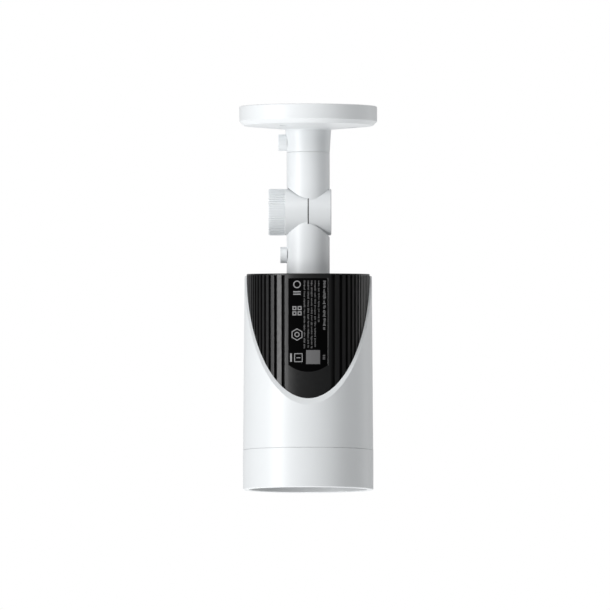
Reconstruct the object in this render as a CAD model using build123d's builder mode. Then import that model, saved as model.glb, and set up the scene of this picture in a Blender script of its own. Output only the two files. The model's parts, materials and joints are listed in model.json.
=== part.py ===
from build123d import *
from math import asin, cos, degrees, radians, sin, sqrt
import os

# A small bullet camera on a three-axis ceiling bracket, in millimetres.
# The origin is the centre of the mounting plate's back face, which lies against the ceiling.
# +Z points into the ceiling, the camera hangs along -Z and looks down, and the ribbed panel faces -Y.
# Heights are Z values, so everything below the ceiling is negative.

os.makedirs("parts", exist_ok=True)

# ---------------------------------------------------------------- driving dimensions
RUNNING_GAP = 0.05            # radial or face clearance between pieces that move on each other

# Mounting plate
PLATE_RADIUS = 34.45
PLATE_EDGE_HEIGHT = -9.57     # where the rim would meet the cone without its bevel
PLATE_BEVEL = 2.1
BOSS_TOP_RADIUS = 11.5
BOSS_TOP_HEIGHT = -11.4
BOSS_END_HEIGHT = -23.0
PLATE_POCKET_RADIUS = 9.5
PLATE_POCKET_HEIGHT = -6.0
PLATE_HOLLOW_RADIUS = 31.0
PLATE_HOLLOW_DEPTH = 4.5
PLATE_RIB_WIDTH = 1.8
MOUNT_HOLE_RADIUS = 2.2
MOUNT_SINK_RADIUS = 3.8
MOUNT_CIRCLE_RADIUS = 23.0
MOUNT_HOLE_COUNT = 3

# Bracket arms
STEM_RADIUS = 10.75
PIVOT_RADIUS = 6.0
SEAM = 0.1                    # open line between boss and upper arm
HINGE_HEIGHT = -52.85
BARREL_RADIUS = 12.05
BARREL_END_RADIUS = 11.6
BARREL_HALF_LENGTH = 11.6
BARREL_GAP = 0.3              # from the middle plane to each half barrel
SADDLE_RADIUS = 12.5          # clearance cut in a stem round the other half barrel
MITRE_GAP = 0.2
ARM_END_HEIGHT = -84.25

# Tilt clamp
TILT_BOLT_RADIUS = 3.0
TILT_BORE_RADIUS = 3.1
TILT_KNOB_RADIUS = 11.6
TILT_KNOB_END = -19.85
TILT_GROOVES = 60
TILT_GROOVE_WIDTH = 0.6
TILT_GROOVE_DEPTH = 0.6
TILT_KNOB_DISH_WALL = 2.2
TILT_KNOB_DISH_DEPTH = 0.6
CLAMP_WASHER_RADIUS = 7.9
NUT_FLAT_RADIUS = 5.0
NUT_LENGTH = 4.6
HINGE_CAP_RADIUS = 8.0
HINGE_CAP_DEPTH = 1.5

# Pan and roll lock screws
LOCK_SCREW_RADIUS = 2.0
LOCK_PAD_LENGTH = 1.5
LOCK_SPOT_X = -10.55
LOCK_SEAT_CLEARANCE = 0.25
LOCK_SLOT_WIDTH = 0.9
LOCK_SLOT_DEPTH = 0.7
LOCK_SLOT_WALL = 1.2
PAN_LOCK_HEIGHT = -18.05
PAN_KNOB_RADIUS = 4.1
PAN_KNOB_END = -15.0
ROLL_LOCK_HEIGHT = -74.3
ROLL_KNOB_RADIUS = 4.0
ROLL_KNOB_END = -14.0

# Camera spigot, held in the lower arm
SPIGOT_RADIUS = 7.0
SPIGOT_TOP_HEIGHT = -67.0
SPIGOT_BORE_TOP = -66.0
SPIGOT_GROOVE_RADIUS = 6.2
SPIGOT_FLANGE_RADIUS = 10.0
SPIGOT_FLANGE_DEPTH = 2.0

# Camera body
REAR_HEIGHT = -83.8           # the rear face on the camera's axis
REAR_SLOPE = 0.0355           # the rear face rises by this much per millimetre of Y
REAR_INNER_HEIGHT = -88.3
REAR_EDGE_ROUNDING = 0.4
REAR_PAD_RADIUS = 11.1
REAR_PAD_HEIGHT = -84.3       # seat of the lower arm, a little below the rear face
BODY_SEAM_HEIGHT = -171.95
HOUSING_RADIUS = 30.75
HOUSING_BORE_RADIUS = 27.5
SLEEVE_BORE_RADIUS = 30.8
SLEEVE_REAR_RADIUS = 31.78
SLEEVE_FRONT_RADIUS = 32.52
SLEEVE_CUT_HEIGHT = -83.9     # where the oblique cut crosses the camera's axis
SLEEVE_CUT_SLOPE = 2.063
SLEEVE_STEP = 1.0             # the sleeve ends this far below the rear face
RIM_TOP = -82.0               # above every point of the sloping rear face

# Ribs of the rear housing, counted as angles from -Y
RIB_FIRST_ANGLE = 21.7
RIB_LAST_ANGLE = 88.0
RIB_PITCH = 4.2
RIB_EXTRA_PITCH = 4.6         # the first pitch is this much wider, and the rest close up
RIB_CLOSING = 0.6
RIB_GROOVE_SHARE = 0.47
RIB_DEPTH = 1.9
RIB_TOP_BAND = 0.8            # plain band between the rear face and the ribs
RIB_END_HEIGHT = -168.0

# Identification label
LABEL_HALF_WIDTH = 9.65
LABEL_TOP_HEIGHT = -87.3
LABEL_SIDE_HEIGHT = -130.8
LABEL_BOTTOM_HEIGHT = -134.2
LABEL_CORNER = 0.75
LABEL_FRAME_BEVEL = 0.35
LABEL_FLOOR_RADIUS = 30.45
LABEL_FACE_RADIUS = 30.7

# Front ring and window
RING_RADIUS = 32.6
RING_TOP_HEIGHT = -172.05
RING_END_HEIGHT = -191.9
RING_LIP_RADIUS = 29.5
RING_SPIGOT_RADIUS = 27.4
RING_SPIGOT_HEIGHT = -166.0
RING_BORE_RADIUS = 25.0
WINDOW_FRONT_HEIGHT = -186.9
WINDOW_BACK_HEIGHT = -184.9
WINDOW_RADIUS = 29.4
BEZEL_RADIUS = 27.1
BEZEL_BACK_HEIGHT = -183.35
SEAL_HEIGHT = -169.0
SEAL_WIRE_RADIUS = 0.55
SEAL_RADIUS = 26.95

# Service opening in the rear wall: a flap over the power inlet and the memory card slot
FLAP_WIDTH = 22.6
FLAP_INNER_Y = 15.4
FLAP_HINGE_Y = 23.9
FLAP_HINGE_HEIGHT = -84.25
FLAP_HALF_THICKNESS = 0.85
FLAP_TOP = FLAP_HINGE_HEIGHT + FLAP_HALF_THICKNESS
FLAP_UNDERSIDE = FLAP_HINGE_HEIGHT - FLAP_HALF_THICKNESS
FLAP_GAP = 0.15
FINGER_NOTCH_RADIUS = 2.5
INLET_X = -5.0
INLET_Y = 18.4
INLET_WIDTH = 9.0
INLET_THICKNESS = 3.3
CARD_X = 5.0
CARD_Y = 21.9
CARD_WIDTH = 11.0

# Reset button
RESET_X = 19.5
RESET_RADIUS = 2.0
RESET_TOP_HEIGHT = -84.6
RESET_TRAVEL = 0.4

# Rear screws, speaker
REAR_SCREW_X = 18.0
REAR_SCREW_Y = 12.6
REAR_SCREW_SEAT = -86.3
REAR_SCREW_RADIUS = 1.35
REAR_SCREW_SINK_RADIUS = 2.9
REAR_SCREW_POST_RADIUS = 3.2
SPEAKER_Y = -18.5
SPEAKER_RADIUS = 8.0
SPEAKER_DEPTH = 3.8
SPEAKER_HOLE_RADIUS = 0.6
SPEAKER_HOLE_PITCH = 2.4

# Chassis and boards
CHASSIS_REAR_HEIGHT = -93.0
CHASSIS_FRONT_HEIGHT = -160.0
CHASSIS_RADIUS = 27.0
CHASSIS_DISC = 2.0
CHASSIS_FRONT_BORE_RADIUS = 9.0
SPACER_RADIUS = 2.2
TRAY_BACK_Y = 9.0
TRAY_THICKNESS = 2.0
TRAY_HALF_WIDTH = 21.2
TRAY_WALL = 1.2
TRAY_EDGE_Y = -2.0
BOARD_THICKNESS = 1.6
BOARD_FACE_Y = 4.4
BOARD_BACK_Y = BOARD_FACE_Y + BOARD_THICKNESS
BOARD_TOP_HEIGHT = -97.0
BOARD_END_HEIGHT = -156.0
BOARD_HALF_WIDTH = 18.8
BOARD_SCREW_X = 16.0
BOARD_SCREW_HEIGHTS = (-100.0, -153.0)
BOARD_SCREW_RADIUS = 1.0
IO_BOARD_Y = 20.1
IO_BOARD_THICKNESS = 1.1
IO_SCREW_X = 9.0
IO_SCREW_HEIGHT = -104.4
SENSOR_SCREW_OFFSET = 12.0
SENSOR_BOARD_TOP = -162.0
SENSOR_BOARD_FACE = SENSOR_BOARD_TOP - BOARD_THICKNESS
LED_BOARD_TOP = -179.0
LED_BOARD_FACE = LED_BOARD_TOP - BOARD_THICKNESS
LED_BOARD_RADIUS = 24.7
LED_BOARD_BORE = 11.5
LED_POST_CIRCLE = 21.0
LED_CIRCLE_RADIUS = 17.5
SPOT_LED_SIDE = 3.5
LIGHT_SENSOR_RADIUS = 0.9
MICROPHONE_RADIUS = 2.0
MICROPHONE_PORT_RADIUS = 0.5
IR_LED_ANGLES = (45, 90, 135, 225, 270, 315)
SPOT_LED_ANGLES = (0, 180)

# ---------------------------------------------------------------- shared planes and helpers
REAR_FACE_PLANE = Plane(origin=(0, 0, REAR_HEIGHT), z_dir=(0, -REAR_SLOPE, 1))
SLEEVE_CUT_PLANE = Plane(origin=(0, 0, SLEEVE_CUT_HEIGHT), z_dir=(0, -SLEEVE_CUT_SLOPE, 1))


def turned(*points, rounding=None):
    """A closed half-section, in (radius, height) points, for a piece turned about the Z axis."""
    with BuildSketch(Plane.XZ) as section:
        with BuildLine():
            if rounding is None:
                Polyline(*points, close=True)
            else:
                FilletPolyline(*points, radius=rounding, close=True)
        make_face()
    return section.sketch


def turned_across(axis_height, *points):
    """A closed half-section, in (x, radius) points, for a piece turned about a line along X."""
    with BuildSketch(Plane((0, 0, axis_height), x_dir=(1, 0, 0), z_dir=(0, -1, 0))) as section:
        with BuildLine():
            Polyline(*points, close=True)
        make_face()
    return section.sketch


def cross_axis(axis_height):
    """The line along X at a height, about which cross pieces are turned."""
    return Axis((0, 0, axis_height), (1, 0, 0))


def screw(head_radius, head_height, shank_radius, shank_length):
    """A screw on Z with its head above the origin, its shank below and a hexagon recess."""
    with BuildPart() as one_screw:
        Cylinder(shank_radius, shank_length, align=(Align.CENTER, Align.CENTER, Align.MAX))
        Cylinder(head_radius, head_height, align=(Align.CENTER, Align.CENTER, Align.MIN))
        fillet(one_screw.edges().sort_by(Axis.Z)[-1], 0.35 * head_height)
        with BuildSketch(Plane.XY.offset(head_height)):
            RegularPolygon(0.5 * head_radius, 6)
        extrude(amount=-0.6 * head_height, mode=Mode.SUBTRACT)
    return one_screw.part


def label_outline():
    """The label's outline on the XZ plane: straight sides, round top corners, bowed bottom."""
    with BuildSketch(Plane.XZ) as outline:
        with BuildLine():
            Polyline(
                (-LABEL_HALF_WIDTH, LABEL_SIDE_HEIGHT),
                (-LABEL_HALF_WIDTH, LABEL_TOP_HEIGHT),
                (LABEL_HALF_WIDTH, LABEL_TOP_HEIGHT),
                (LABEL_HALF_WIDTH, LABEL_SIDE_HEIGHT),
            )
            ThreePointArc(
                (LABEL_HALF_WIDTH, LABEL_SIDE_HEIGHT),
                (0, LABEL_BOTTOM_HEIGHT),
                (-LABEL_HALF_WIDTH, LABEL_SIDE_HEIGHT),
            )
        make_face()
        fillet(outline.vertices(), LABEL_CORNER)
    return outline.sketch


def cut_lock_screw_seat(height, knob_radius, bore_radius):
    """The tool for one lock screw's hole through a round wall, with a flat seat for its knob."""
    with BuildPart() as tool:
        with BuildSketch(Plane.YZ.offset(-bore_radius + 1)):
            with Locations((0, height)):
                Circle(LOCK_SCREW_RADIUS)
        extrude(amount=-STEM_RADIUS)
        with BuildSketch(Plane.YZ.offset(LOCK_SPOT_X)):
            with Locations((0, height)):
                Circle(knob_radius + LOCK_SEAT_CLEARANCE)
        extrude(amount=-3)
    return tool.part


# ---------------------------------------------------------------- mounting plate
with BuildPart() as mount_plate:
    revolve(
        turned(
            (PIVOT_RADIUS + RUNNING_GAP, BOSS_END_HEIGHT),
            (PIVOT_RADIUS + RUNNING_GAP, PLATE_POCKET_HEIGHT),
            (PLATE_POCKET_RADIUS, PLATE_POCKET_HEIGHT),
            (PLATE_POCKET_RADIUS, 0),
            (PLATE_RADIUS, 0),
            (PLATE_RADIUS, PLATE_EDGE_HEIGHT + PLATE_BEVEL),
            (PLATE_RADIUS - PLATE_BEVEL, PLATE_EDGE_HEIGHT),
            (BOSS_TOP_RADIUS, BOSS_TOP_HEIGHT),
            (STEM_RADIUS, BOSS_END_HEIGHT),
            rounding=[0, 0, 0, 0, 0.5, 0.4, 0.8, 0.8, 0.1],
        ),
        axis=Axis.Z,
    )
    with BuildSketch(Plane.XY):
        Circle(PLATE_HOLLOW_RADIUS)
        Circle(PLATE_POCKET_RADIUS + 3, mode=Mode.SUBTRACT)
        with PolarLocations(MOUNT_CIRCLE_RADIUS, MOUNT_HOLE_COUNT):
            Circle(MOUNT_SINK_RADIUS + 2, mode=Mode.SUBTRACT)
        with PolarLocations(MOUNT_CIRCLE_RADIUS, MOUNT_HOLE_COUNT, start_angle=60):
            Rectangle(2 * MOUNT_CIRCLE_RADIUS, PLATE_RIB_WIDTH, mode=Mode.SUBTRACT)
    extrude(amount=-PLATE_HOLLOW_DEPTH, mode=Mode.SUBTRACT)
    with Locations(Plane((0, 0, -10.9), x_dir=(1, 0, 0), z_dir=(0, 0, -1))):
        with PolarLocations(MOUNT_CIRCLE_RADIUS, MOUNT_HOLE_COUNT):
            CounterSinkHole(MOUNT_HOLE_RADIUS, MOUNT_SINK_RADIUS, depth=12, counter_sink_angle=90)
    add(cut_lock_screw_seat(PAN_LOCK_HEIGHT, PAN_KNOB_RADIUS, PIVOT_RADIUS), mode=Mode.SUBTRACT)
mount_plate.part.label = "mount_plate"
export_step(mount_plate.part, "parts/mount_plate.step")

# ---------------------------------------------------------------- upper arm
PIVOT_TOP_HEIGHT = PLATE_POCKET_HEIGHT + RUNNING_GAP
RETAINER_RADIUS = 8.6
RETAINER_THICKNESS = 1.5
RETAINER_SCREW_RADIUS = 2.0
RETAINER_SCREW_LENGTH = 12.0

with BuildPart() as upper_arm:
    revolve(
        turned(
            (0, PIVOT_TOP_HEIGHT),
            (PIVOT_RADIUS, PIVOT_TOP_HEIGHT),
            (PIVOT_RADIUS, BOSS_END_HEIGHT - SEAM),
            (STEM_RADIUS, BOSS_END_HEIGHT - SEAM),
            (STEM_RADIUS, HINGE_HEIGHT),
            (0, HINGE_HEIGHT),
            rounding=[0, 0, 0, 0.1, 0, 0],
        ),
        axis=Axis.Z,
    )
    split(
        bisect_by=Plane((0, 0, HINGE_HEIGHT), z_dir=(0, -1, 1)).offset(MITRE_GAP),
        keep=Keep.TOP,
    )
    with BuildSketch(Plane.YZ.offset(BARREL_GAP)):
        with Locations((0, HINGE_HEIGHT)):
            Circle(SADDLE_RADIUS)
    extrude(amount=-2 * STEM_RADIUS, mode=Mode.SUBTRACT)
    revolve(
        turned_across(
            HINGE_HEIGHT,
            (BARREL_GAP, 0),
            (BARREL_GAP, BARREL_RADIUS),
            (BARREL_HALF_LENGTH - 0.4, BARREL_END_RADIUS),
            (BARREL_HALF_LENGTH, BARREL_END_RADIUS - 0.4),
            (BARREL_HALF_LENGTH, 0),
        ),
        axis=cross_axis(HINGE_HEIGHT),
    )
    with BuildSketch(Plane.YZ):
        with Locations((0, HINGE_HEIGHT)):
            Circle(TILT_BORE_RADIUS)
    extrude(amount=BARREL_HALF_LENGTH, mode=Mode.SUBTRACT)
    with BuildSketch(Plane.YZ.offset(BARREL_HALF_LENGTH)):
        with Locations((0, HINGE_HEIGHT)):
            Circle(HINGE_CAP_RADIUS)
    extrude(amount=-HINGE_CAP_DEPTH, mode=Mode.SUBTRACT)
    with BuildSketch(Plane.YZ.offset(BARREL_HALF_LENGTH - HINGE_CAP_DEPTH)):
        with Locations((0, HINGE_HEIGHT)):
            RegularPolygon(NUT_FLAT_RADIUS, 6, major_radius=False)
    extrude(amount=-NUT_LENGTH, mode=Mode.SUBTRACT)
    with BuildSketch(Plane.XY.offset(PIVOT_TOP_HEIGHT)):
        Circle(RETAINER_SCREW_RADIUS)
    extrude(amount=-RETAINER_SCREW_LENGTH, mode=Mode.SUBTRACT)
upper_arm.part.label = "upper_arm"
export_step(upper_arm.part, "parts/upper_arm.step")

with BuildPart() as pan_retainer_washer:
    with BuildSketch(Plane.XY.offset(PIVOT_TOP_HEIGHT)):
        Circle(RETAINER_RADIUS)
        Circle(RETAINER_SCREW_RADIUS, mode=Mode.SUBTRACT)
    extrude(amount=RETAINER_THICKNESS)
    chamfer(pan_retainer_washer.faces().sort_by(Axis.Z)[-1].outer_wire().edges(), 0.25)
pan_retainer_washer.part.label = "pan_retainer_washer"
export_step(pan_retainer_washer.part, "parts/pan_retainer_washer.step")

with BuildPart() as pan_retainer_screw:
    with Locations((0, 0, PIVOT_TOP_HEIGHT + RETAINER_THICKNESS)):
        add(screw(3.9, 2.4, RETAINER_SCREW_RADIUS, RETAINER_THICKNESS + RETAINER_SCREW_LENGTH - 1))
pan_retainer_screw.part.label = "pan_retainer_screw"
export_step(pan_retainer_screw.part, "parts/pan_retainer_screw.step")

# ---------------------------------------------------------------- lower arm
with BuildPart() as lower_arm:
    with BuildSketch(Plane.XY.offset(HINGE_HEIGHT)):
        Circle(STEM_RADIUS)
    extrude(amount=ARM_END_HEIGHT - HINGE_HEIGHT)
    fillet(lower_arm.faces().sort_by(Axis.Z)[0].edges(), 0.2)
    split(
        bisect_by=Plane((0, 0, HINGE_HEIGHT), z_dir=(0, -1, -1)).offset(MITRE_GAP),
        keep=Keep.TOP,
    )
    with BuildSketch(Plane.YZ.offset(-BARREL_GAP)):
        with Locations((0, HINGE_HEIGHT)):
            Circle(SADDLE_RADIUS)
    extrude(amount=2 * STEM_RADIUS, mode=Mode.SUBTRACT)
    revolve(
        turned_across(
            HINGE_HEIGHT,
            (-BARREL_GAP, 0),
            (-BARREL_GAP, BARREL_RADIUS),
            (-BARREL_HALF_LENGTH + 0.1, BARREL_END_RADIUS),
            (-BARREL_HALF_LENGTH, BARREL_END_RADIUS - 0.1),
            (-BARREL_HALF_LENGTH, 0),
        ),
        axis=cross_axis(HINGE_HEIGHT),
    )
    with BuildSketch(Plane.YZ):
        with Locations((0, HINGE_HEIGHT)):
            Circle(TILT_BORE_RADIUS)
    extrude(amount=-BARREL_HALF_LENGTH, mode=Mode.SUBTRACT)
    with BuildSketch(Plane.YZ.offset(-BARREL_HALF_LENGTH)):
        with Locations((0, HINGE_HEIGHT)):
            Circle(CLAMP_WASHER_RADIUS + 0.1)
    extrude(amount=HINGE_CAP_DEPTH, mode=Mode.SUBTRACT)
    with BuildSketch(Plane.XY.offset(ARM_END_HEIGHT)):
        Circle(SPIGOT_RADIUS + RUNNING_GAP)
    extrude(amount=SPIGOT_BORE_TOP - ARM_END_HEIGHT, mode=Mode.SUBTRACT)
    add(cut_lock_screw_seat(ROLL_LOCK_HEIGHT, ROLL_KNOB_RADIUS, SPIGOT_RADIUS), mode=Mode.SUBTRACT)
lower_arm.part.label = "lower_arm"
export_step(lower_arm.part, "parts/lower_arm.step")

# ---------------------------------------------------------------- tilt hinge
with BuildPart() as tilt_friction_washer:
    with BuildSketch(Plane.YZ.offset(BARREL_GAP)):
        with Locations((0, HINGE_HEIGHT)):
            Circle(BARREL_RADIUS - 0.7)
            Circle(TILT_BORE_RADIUS, mode=Mode.SUBTRACT)
    extrude(amount=RUNNING_GAP - 2 * BARREL_GAP)
tilt_friction_washer.part.label = "tilt_friction_washer"
export_step(tilt_friction_washer.part, "parts/tilt_friction_washer.step")

with BuildPart() as tilt_nut:
    with BuildSketch(Plane.YZ.offset(BARREL_HALF_LENGTH - HINGE_CAP_DEPTH)):
        with Locations((0, HINGE_HEIGHT)):
            RegularPolygon(NUT_FLAT_RADIUS, 6, major_radius=False)
            Circle(TILT_BOLT_RADIUS + RUNNING_GAP, mode=Mode.SUBTRACT)
    extrude(amount=-NUT_LENGTH)
tilt_nut.part.label = "tilt_nut"
export_step(tilt_nut.part, "parts/tilt_nut.step")

with BuildPart() as hinge_cap:
    with BuildSketch(Plane.YZ.offset(BARREL_HALF_LENGTH)):
        with Locations((0, HINGE_HEIGHT)):
            Circle(HINGE_CAP_RADIUS)
    extrude(amount=-HINGE_CAP_DEPTH)
    chamfer(hinge_cap.faces().sort_by(Axis.X)[-1].edges(), 0.3)
hinge_cap.part.label = "hinge_cap"
export_step(hinge_cap.part, "parts/hinge_cap.step")

with BuildPart() as tilt_clamp_washer:
    with BuildSketch(Plane.YZ.offset(-BARREL_HALF_LENGTH)):
        with Locations((0, HINGE_HEIGHT)):
            Circle(CLAMP_WASHER_RADIUS)
            Circle(TILT_BORE_RADIUS, mode=Mode.SUBTRACT)
    extrude(amount=HINGE_CAP_DEPTH - RUNNING_GAP)
tilt_clamp_washer.part.label = "tilt_clamp_washer"
export_step(tilt_clamp_washer.part, "parts/tilt_clamp_washer.step")

BOLT_HEAD_X = TILT_KNOB_END + 2.0
BOLT_TIP_X = BARREL_HALF_LENGTH - HINGE_CAP_DEPTH - 0.3
KNOB_FACE_X = -BARREL_HALF_LENGTH - RUNNING_GAP

with BuildPart() as tilt_knob:
    with BuildSketch(Plane.YZ.offset(KNOB_FACE_X)):
        with Locations((0, HINGE_HEIGHT)):
            Circle(TILT_KNOB_RADIUS)
    extrude(amount=TILT_KNOB_END - KNOB_FACE_X)
    fillet(tilt_knob.faces().sort_by(Axis.X)[0].edges(), 0.5)
    with BuildSketch(Plane.YZ.offset(KNOB_FACE_X)):
        with Locations((0, HINGE_HEIGHT)):
            with PolarLocations(TILT_KNOB_RADIUS, TILT_GROOVES):
                Rectangle(2 * TILT_GROOVE_DEPTH, TILT_GROOVE_WIDTH)
    extrude(amount=TILT_KNOB_END - KNOB_FACE_X, mode=Mode.SUBTRACT)
    with BuildSketch(Plane.YZ.offset(TILT_KNOB_END)):
        with Locations((0, HINGE_HEIGHT)):
            Circle(TILT_KNOB_RADIUS - TILT_KNOB_DISH_WALL)
    extrude(amount=TILT_KNOB_DISH_DEPTH, mode=Mode.SUBTRACT)
    with BuildSketch(Plane.YZ.offset(KNOB_FACE_X)):
        with Locations((0, HINGE_HEIGHT)):
            Circle(TILT_BOLT_RADIUS)
    extrude(amount=BOLT_HEAD_X - KNOB_FACE_X, mode=Mode.SUBTRACT)
tilt_knob.part.label = "tilt_knob"
export_step(tilt_knob.part, "parts/tilt_knob.step")

with BuildPart() as tilt_bolt:
    with BuildSketch(Plane.YZ.offset(BOLT_HEAD_X)):
        with Locations((0, HINGE_HEIGHT)):
            Circle(TILT_BOLT_RADIUS)
    extrude(amount=BOLT_TIP_X - BOLT_HEAD_X)
    chamfer(tilt_bolt.faces().sort_by(Axis.X)[-1].edges(), 0.5)
tilt_bolt.part.label = "tilt_bolt"
export_step(tilt_bolt.part, "parts/tilt_bolt.step")


# ---------------------------------------------------------------- pan and roll lock screws
def lock_pad(height, shaft_radius):
    """A round brass pad between a lock screw's tip and the shaft that it clamps."""
    with BuildPart() as pad:
        with BuildSketch(Plane.YZ.offset(-shaft_radius - RUNNING_GAP)):
            with Locations((0, height)):
                Circle(LOCK_SCREW_RADIUS - RUNNING_GAP)
        extrude(amount=-LOCK_PAD_LENGTH)
    return pad.part


def lock_screw(height, shaft_radius, knob_end):
    """The threaded stud, from behind the pad to inside the knob."""
    tip_x = -shaft_radius - LOCK_PAD_LENGTH - 2 * RUNNING_GAP
    with BuildPart() as stud:
        with BuildSketch(Plane.YZ.offset(tip_x)):
            with Locations((0, height)):
                Circle(LOCK_SCREW_RADIUS - RUNNING_GAP)
        extrude(amount=knob_end + 1 - tip_x)
        chamfer(stud.faces().sort_by(Axis.X)[-1].edges(), 0.3)
    return stud.part


def lock_knob(height, knob_radius, knob_end):
    """The moulded grip, a short cylinder with a blind hole for the stud and a dished end."""
    face_x = LOCK_SPOT_X - RUNNING_GAP
    with BuildPart() as grip:
        with BuildSketch(Plane.YZ.offset(face_x)):
            with Locations((0, height)):
                Circle(knob_radius)
        extrude(amount=knob_end - face_x)
        fillet(grip.faces().sort_by(Axis.X)[0].edges(), 0.35)
        with BuildSketch(Plane.YZ.offset(face_x)):
            with Locations((0, height)):
                Circle(LOCK_SCREW_RADIUS - RUNNING_GAP)
        extrude(amount=knob_end + 1 - face_x, mode=Mode.SUBTRACT)
        with BuildSketch(Plane.YZ.offset(knob_end)):
            with Locations((0, height)):
                Rectangle(LOCK_SLOT_WIDTH, 2 * (knob_radius - LOCK_SLOT_WALL))
        extrude(amount=LOCK_SLOT_DEPTH, mode=Mode.SUBTRACT)
    return grip.part


with BuildPart() as pan_lock_pad:
    add(lock_pad(PAN_LOCK_HEIGHT, PIVOT_RADIUS))
pan_lock_pad.part.label = "pan_lock_pad"
export_step(pan_lock_pad.part, "parts/pan_lock_pad.step")

with BuildPart() as pan_lock_screw:
    add(lock_screw(PAN_LOCK_HEIGHT, PIVOT_RADIUS, PAN_KNOB_END))
pan_lock_screw.part.label = "pan_lock_screw"
export_step(pan_lock_screw.part, "parts/pan_lock_screw.step")

with BuildPart() as pan_lock_knob:
    add(lock_knob(PAN_LOCK_HEIGHT, PAN_KNOB_RADIUS, PAN_KNOB_END))
pan_lock_knob.part.label = "pan_lock_knob"
export_step(pan_lock_knob.part, "parts/pan_lock_knob.step")

with BuildPart() as roll_lock_pad:
    add(lock_pad(ROLL_LOCK_HEIGHT, SPIGOT_GROOVE_RADIUS))
roll_lock_pad.part.label = "roll_lock_pad"
export_step(roll_lock_pad.part, "parts/roll_lock_pad.step")

with BuildPart() as roll_lock_screw:
    add(lock_screw(ROLL_LOCK_HEIGHT, SPIGOT_GROOVE_RADIUS, ROLL_KNOB_END))
roll_lock_screw.part.label = "roll_lock_screw"
export_step(roll_lock_screw.part, "parts/roll_lock_screw.step")

with BuildPart() as roll_lock_knob:
    add(lock_knob(ROLL_LOCK_HEIGHT, ROLL_KNOB_RADIUS, ROLL_KNOB_END))
roll_lock_knob.part.label = "roll_lock_knob"
export_step(roll_lock_knob.part, "parts/roll_lock_knob.step")

# ---------------------------------------------------------------- camera spigot
SPIGOT_GROOVE_HALF = 2.4
FLANGE_SCREW_CIRCLE = 8.4
FLANGE_SCREW_RADIUS = 0.8

with BuildPart() as camera_spigot:
    revolve(
        turned(
            (0, SPIGOT_TOP_HEIGHT),
            (SPIGOT_RADIUS, SPIGOT_TOP_HEIGHT),
            (SPIGOT_RADIUS, ROLL_LOCK_HEIGHT + SPIGOT_GROOVE_HALF),
            (SPIGOT_GROOVE_RADIUS, ROLL_LOCK_HEIGHT + SPIGOT_GROOVE_HALF),
            (SPIGOT_GROOVE_RADIUS, ROLL_LOCK_HEIGHT - SPIGOT_GROOVE_HALF),
            (SPIGOT_RADIUS, ROLL_LOCK_HEIGHT - SPIGOT_GROOVE_HALF),
            (SPIGOT_RADIUS, REAR_INNER_HEIGHT),
            (SPIGOT_FLANGE_RADIUS, REAR_INNER_HEIGHT),
            (SPIGOT_FLANGE_RADIUS, REAR_INNER_HEIGHT - SPIGOT_FLANGE_DEPTH),
            (0, REAR_INNER_HEIGHT - SPIGOT_FLANGE_DEPTH),
        ),
        axis=Axis.Z,
    )
    chamfer(camera_spigot.faces().sort_by(Axis.Z)[-1].edges(), 0.6)
    with BuildSketch(Plane.XY.offset(REAR_INNER_HEIGHT)):
        with PolarLocations(FLANGE_SCREW_CIRCLE, 3, start_angle=30):
            Circle(FLANGE_SCREW_RADIUS)
    extrude(amount=-SPIGOT_FLANGE_DEPTH, mode=Mode.SUBTRACT)
camera_spigot.part.label = "camera_spigot"
export_step(camera_spigot.part, "parts/camera_spigot.step")

with BuildPart() as spigot_screws:
    flange_underside = Plane(
        (0, 0, REAR_INNER_HEIGHT - SPIGOT_FLANGE_DEPTH), x_dir=(1, 0, 0), z_dir=(0, 0, -1)
    )
    with Locations(flange_underside):
        with PolarLocations(FLANGE_SCREW_CIRCLE, 3, start_angle=-30 - 120):
            add(screw(1.45, 1.2, FLANGE_SCREW_RADIUS, SPIGOT_FLANGE_DEPTH + 2.4))
spigot_screws.part.label = "spigot_screws"
export_step(spigot_screws.part, "parts/spigot_screws.step")

# ---------------------------------------------------------------- rear housing
rib_grooves = []
groove_start = RIB_FIRST_ANGLE
rib_number = 0
while groove_start < RIB_LAST_ANGLE:
    pitch = RIB_PITCH + RIB_EXTRA_PITCH * RIB_CLOSING ** rib_number
    rib_grooves.append((groove_start + 0.5 * RIB_GROOVE_SHARE * pitch, RIB_GROOVE_SHARE * pitch))
    groove_start += pitch
    rib_number += 1

REAR_SCREW_PLACES = [
    (side * REAR_SCREW_X, end * REAR_SCREW_Y) for side in (-1, 1) for end in (-1, 1)
]
FLANGE_SCREW_HOLE_DEPTH = 2.4
LABEL_SIDE_ANGLE = degrees(asin(LABEL_HALF_WIDTH / HOUSING_RADIUS))
RECESS_FLOOR = FLAP_UNDERSIDE - RUNNING_GAP
RECESS_INNER_Y = FLAP_INNER_Y - FLAP_GAP
RECESS_OUTER_Y = FLAP_HINGE_Y + FLAP_HALF_THICKNESS + FLAP_GAP

with BuildPart() as rib_cutter:
    with BuildSketch(Plane.XY.offset(RIM_TOP)):
        for angle, width in rib_grooves:
            for side in (-1, 1):
                with PolarLocations(HOUSING_RADIUS, 1, start_angle=-90 + side * angle):
                    Rectangle(2 * RIB_DEPTH, HOUSING_RADIUS * radians(width))
    extrude(amount=RIB_END_HEIGHT - RIM_TOP)
    split(bisect_by=REAR_FACE_PLANE.offset(-RIB_TOP_BAND), keep=Keep.BOTTOM)

with BuildPart() as label_pocket:
    with BuildSketch(Plane.XY.offset(LABEL_BOTTOM_HEIGHT - 1)):
        Circle(HOUSING_RADIUS + 1)
        Circle(LABEL_FLOOR_RADIUS, mode=Mode.SUBTRACT)
    extrude(amount=LABEL_TOP_HEIGHT - LABEL_BOTTOM_HEIGHT + 2)
    extrude(label_outline(), amount=2 * HOUSING_RADIUS, mode=Mode.INTERSECT)

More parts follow.
